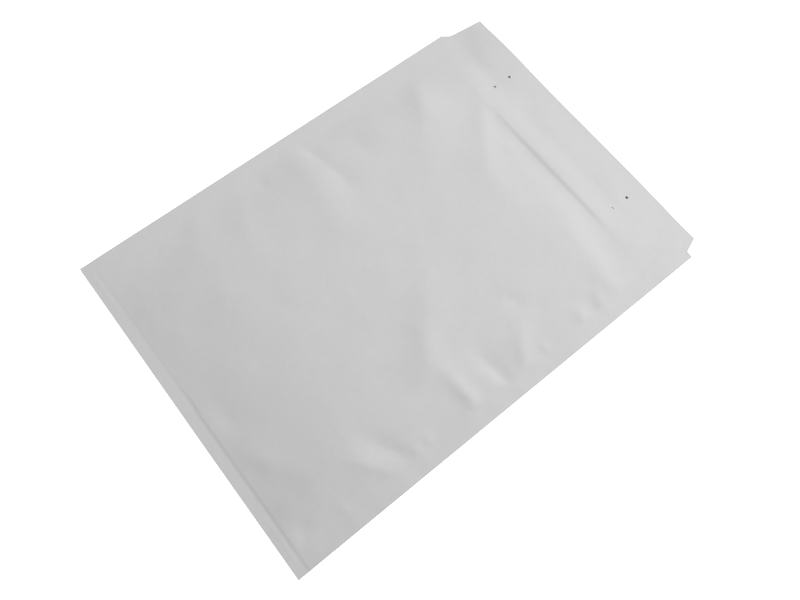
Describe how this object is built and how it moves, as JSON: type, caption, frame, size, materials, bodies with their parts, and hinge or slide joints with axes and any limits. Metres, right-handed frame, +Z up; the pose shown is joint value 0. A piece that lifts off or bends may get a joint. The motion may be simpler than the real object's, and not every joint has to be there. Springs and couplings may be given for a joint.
{
  "type": "padded envelope",
  "caption": "Flat white paper mailing envelope lined with bubble film, with its flap open, a covered self-seal strip and punched clasp holes.",
  "frame": {"origin": "centre of the bounding box, on the surface that the envelope lies on", "axes": "+X across the width, +Y along the length from the closed end to the flap, +Z up out of the front panel"},
  "size_m": [0.29, 0.405, 0.0118],
  "materials": {
    "white_paper": "matt, uncoated, softly creased",
    "clear_film": "soft clear polyethylene bubble film",
    "glue": "pressure-sensitive adhesive, satin",
    "liner": "siliconised paper, slight sheen"
  },
  "bodies": {
    "root": {"paper_envelope": "white_paper", "bubble_lining": "clear_film", "flap_adhesive": "glue", "release_liner": "liner"}
  },
  "joints": []
}
